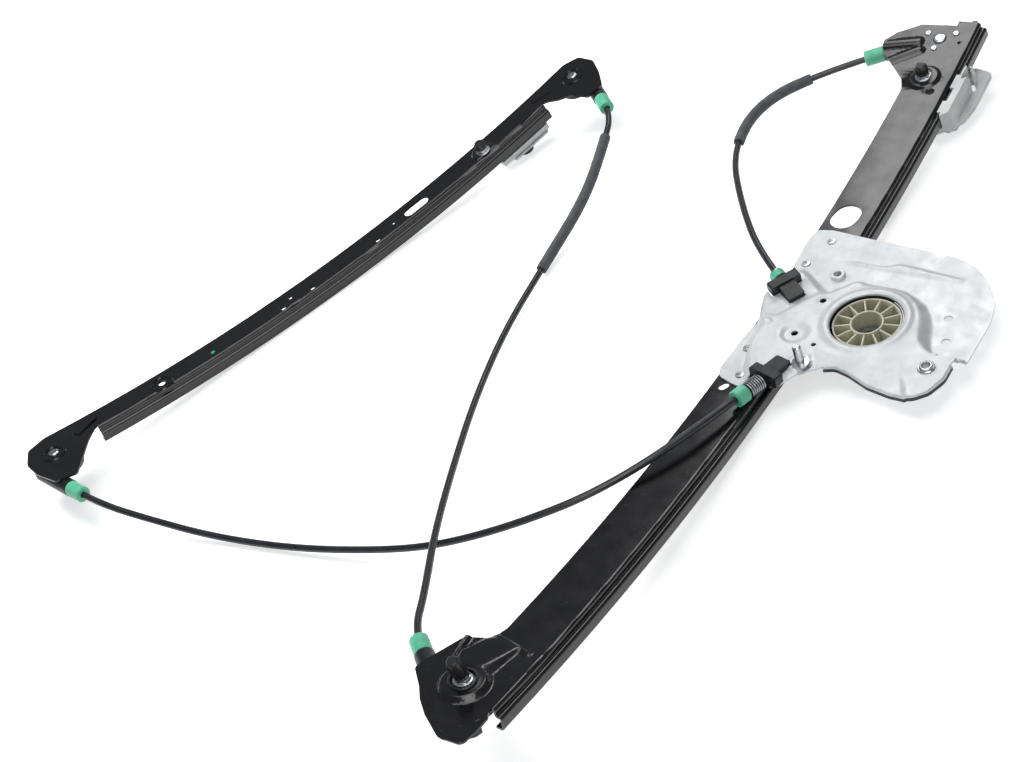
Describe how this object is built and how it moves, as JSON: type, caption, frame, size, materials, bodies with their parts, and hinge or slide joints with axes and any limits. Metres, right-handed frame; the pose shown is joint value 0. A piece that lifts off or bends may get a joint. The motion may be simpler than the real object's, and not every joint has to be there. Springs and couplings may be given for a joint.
{
  "type": "window regulator",
  "caption": "Twin-rail cable window regulator: bent steel rails, motor plate with cable drum, conduits, pulleys and sliding glass carriers.",
  "frame": {"origin": "on the cable drum's axis, inside the hub bore that the motor drives, level with the wide rail's web at its lowest point", "axes": "+Z along the drum axis towards the cabin side, the way the studs point; +Y up the wide rail; +X across it, away from the narrow rail"},
  "size_m": [0.6545, 0.7273, 0.0832],
  "materials": {
    "rail_black": "gloss black dip coat on pressed steel",
    "plate_zinc": "hot-dip galvanised sheet steel",
    "zinc_hardware": "bright zinc plate",
    "housing_black": "moulded acetal, fine satin",
    "sleeve_green": "moulded polyethylene, satin",
    "conduit_grey": "extruded polypropylene jacket",
    "foam_grey": "closed-cell foam tube",
    "cable_steel": "galvanised steel wire and strip",
    "drum_nylon": "moulded natural nylon",
    "carrier_nylon": "moulded white nylon"
  },
  "bodies": {
    "regulator_frame": {"main_rail": "rail_black", "side_rail": "rail_black", "motor_plate": "plate_zinc", "main_upper_housing": "housing_black", "main_lower_housing": "housing_black", "side_upper_housing": "housing_black", "side_lower_housing": "housing_black", "main_upper_pin": "zinc_hardware", "side_upper_pin": "zinc_hardware", "side_lower_pin": "zinc_hardware", "main_lower_stud": "zinc_hardware", "main_upper_stud": "zinc_hardware", "side_stud": "zinc_hardware", "stud_caps": "housing_black", "head_rivets": "zinc_hardware", "plate_rivets": "zinc_hardware", "plate_bush": "zinc_hardware", "plate_stud": "zinc_hardware", "drum_cover": "housing_black", "upper_outlet": "housing_black", "lower_outlet": "housing_black", "tension_spring": "cable_steel", "spring_cap": "sleeve_green", "upper_collar": "sleeve_green", "collar_ring": "zinc_hardware", "main_upper_sleeve": "sleeve_green", "main_lower_sleeve": "sleeve_green", "side_upper_sleeve": "sleeve_green", "side_lower_sleeve": "sleeve_green", "upper_conduit": "conduit_grey", "lower_conduit": "conduit_grey", "cross_conduit": "conduit_grey", "upper_foam": "foam_grey", "cross_foam": "foam_grey", "main_rail_cable": "cable_steel", "side_rail_cable": "cable_steel", "drum_feed_cables": "cable_steel"},
    "drum": {"cable_drum": "drum_nylon", "drive_insert": "cable_steel", "wound_cable": "cable_steel"},
    "main_upper_pulley": {"main_upper_pulley": "carrier_nylon"},
    "main_lower_pulley": {"main_lower_pulley": "carrier_nylon"},
    "side_upper_pulley": {"side_upper_pulley": "carrier_nylon"},
    "side_lower_pulley": {"side_lower_pulley": "carrier_nylon"},
    "main_carrier": {"main_slider": "carrier_nylon", "main_glass_clamp": "cable_steel", "main_clamp_pad": "housing_black", "main_clamp_bolt": "zinc_hardware", "main_nipple": "cable_steel"},
    "side_carrier": {"side_slider": "carrier_nylon", "side_glass_clamp": "cable_steel", "side_clamp_pad": "housing_black", "side_clamp_bolt": "zinc_hardware", "side_nipple": "cable_steel"}
  },
  "joints": [
    {"name": "main_carrier_travel", "type": "hinge", "parent": "regulator_frame", "child": "main_carrier", "pos_m": [-0.0787, 0.0069, 1.63], "axis": [1, 0, 0], "range_deg": [-14.6, 0]},
    {"name": "side_carrier_travel", "type": "hinge", "parent": "regulator_frame", "child": "side_carrier", "pos_m": [-0.4919, -0.0703, 1.6285], "axis": [0.9381, -0.3463, 0], "range_deg": [-14.7, 0.1]},
    {"name": "drum_spin", "type": "hinge", "parent": "regulator_frame", "child": "drum", "pos_m": [0, 0, 0], "axis": [0, 0, 1], "range_deg": [-999, 2]},
    {"name": "main_upper_pulley_spin", "type": "hinge", "parent": "regulator_frame", "child": "main_upper_pulley", "pos_m": [-0.0695, 0.29342, 0.01725], "axis": [0, -0.1749, 0.9846], "range_deg": [-2064, 2]},
    {"name": "main_lower_pulley_spin", "type": "hinge", "parent": "regulator_frame", "child": "main_lower_pulley", "pos_m": [-0.0729, -0.37552, 0.03727], "axis": [0, 0.2335, 0.9724], "range_deg": [-1597, 2]},
    {"name": "side_upper_pulley_spin", "type": "hinge", "parent": "regulator_frame", "child": "side_upper_pulley", "pos_m": [-0.36963, 0.20232, 0.01785], "axis": [-0.063, -0.1707, 0.9833], "range_deg": [-2, 2217]},
    {"name": "side_lower_pulley_spin", "type": "hinge", "parent": "regulator_frame", "child": "side_lower_pulley", "pos_m": [-0.55331, -0.30887, 0.00894], "axis": [0.0518, 0.1404, 0.9887], "range_deg": [-2, 1545]}
  ],
  "couplings": [
    {"joint": "side_carrier_travel", "follows": "main_carrier_travel", "ratio": 1},
    {"joint": "drum_spin", "follows": "main_carrier_travel", "ratio": 68.25},
    {"joint": "main_upper_pulley_spin", "follows": "main_carrier_travel", "ratio": 141.21},
    {"joint": "main_lower_pulley_spin", "follows": "main_carrier_travel", "ratio": 109.2},
    {"joint": "side_upper_pulley_spin", "follows": "main_carrier_travel", "ratio": -151.67},
    {"joint": "side_lower_pulley_spin", "follows": "main_carrier_travel", "ratio": -105.68}
  ]
}
